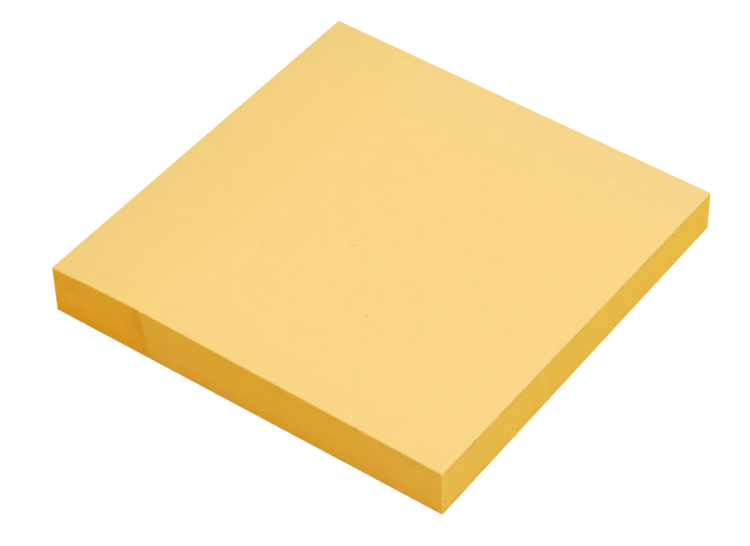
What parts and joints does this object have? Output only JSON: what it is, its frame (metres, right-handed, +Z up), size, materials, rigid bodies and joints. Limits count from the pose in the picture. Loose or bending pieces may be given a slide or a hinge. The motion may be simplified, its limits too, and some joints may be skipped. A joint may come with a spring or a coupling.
{
  "type": "sticky note pad",
  "caption": "Square pad of yellow notes, each held to the next by a strip of light adhesive along one edge, lying on a thin backing sheet.",
  "frame": {"origin": "centre of the underside of the backing sheet", "axes": "+Z up through the stack, +Y towards the glued edge, -Y towards the free edge, X along the glued edge"},
  "size_m": [0.076, 0.076, 0.0096],
  "materials": {
    "note_paper": "matte",
    "backing_paper": "satin"
  },
  "bodies": {
    "root": {"note_block": "note_paper", "backing_sheet": "backing_paper"}
  },
  "joints": []
}
